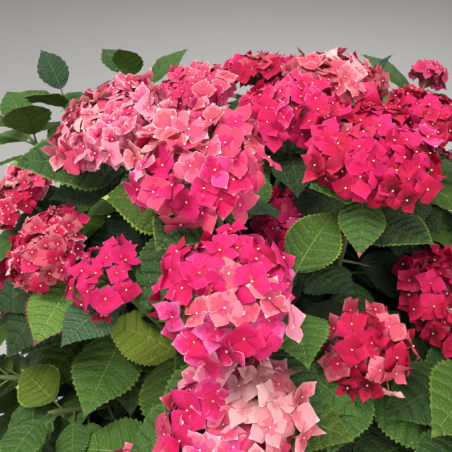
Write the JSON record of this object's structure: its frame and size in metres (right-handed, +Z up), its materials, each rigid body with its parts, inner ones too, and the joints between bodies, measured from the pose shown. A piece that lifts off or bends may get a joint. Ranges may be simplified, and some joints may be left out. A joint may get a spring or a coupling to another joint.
{
  "type": "hydrangea shrub",
  "caption": "Rooted mophead hydrangea shrub: arching woody canes, opposite toothed leaves and round pink flower heads over a full, rounded crown.",
  "frame": {"origin": "middle of the flat cut under the root crown, at ground level", "axes": "+Z up, -Y towards the side that the picture shows, -Z out of the ground mount"},
  "size_m": [1.2463, 1.1949, 0.9337],
  "materials": {
    "bark": "grey-brown peeling bark",
    "foliage": "satin green leaf, paler veins and toothed margins",
    "blossom": "matt petal, hot pink to pale salmon"
  },
  "bodies": {
    "root": {"root_crown": "bark", "cane_inner_back_right": "bark", "cane_inner_back_left": "bark", "cane_inner_front_left": "bark", "cane_inner_front_right": "bark", "cane_right_back": "bark", "cane_back_right": "bark", "cane_back_left": "bark", "cane_left_back": "bark", "cane_left_front": "bark", "cane_front_left": "bark", "cane_front_right": "bark", "cane_right_front": "bark", "bloom_front": "blossom", "bloom_middle": "blossom", "bloom_pale_left": "blossom", "bloom_top_left": "blossom", "bloom_top_middle": "blossom", "bloom_salmon": "blossom", "bloom_right": "blossom", "bloom_far_right": "blossom", "bloom_small_back": "blossom", "bloom_young": "blossom", "bloom_left": "blossom", "bloom_left_upper": "blossom", "bloom_low_front": "blossom", "bloom_low_right": "blossom", "bloom_right_edge": "blossom", "bloom_hidden": "blossom", "bloom_top_back": "blossom", "bloom_shoulder_right_1": "blossom", "bloom_shoulder_right_2": "blossom", "bloom_shoulder_back_1": "blossom", "bloom_shoulder_back_2": "blossom", "bloom_skirt_1": "blossom", "bloom_skirt_2": "blossom", "bloom_skirt_3": "blossom", "bloom_skirt_4": "blossom", "bloom_skirt_5": "blossom", "bloom_skirt_6": "blossom", "bloom_skirt_7": "blossom", "bloom_skirt_8": "blossom", "bloom_skirt_front_1": "blossom", "bloom_skirt_front_2": "blossom", "leaves_inner_back_right": "foliage", "leaves_inner_back_left": "foliage", "leaves_inner_front_left": "foliage", "leaves_inner_front_right": "foliage", "leaves_right_back": "foliage", "leaves_back_right": "foliage", "leaves_back_left": "foliage", "leaves_left_back": "foliage", "leaves_left_front": "foliage", "leaves_front_left": "foliage", "leaves_front_right": "foliage", "leaves_right_front": "foliage"}
  },
  "joints": []
}
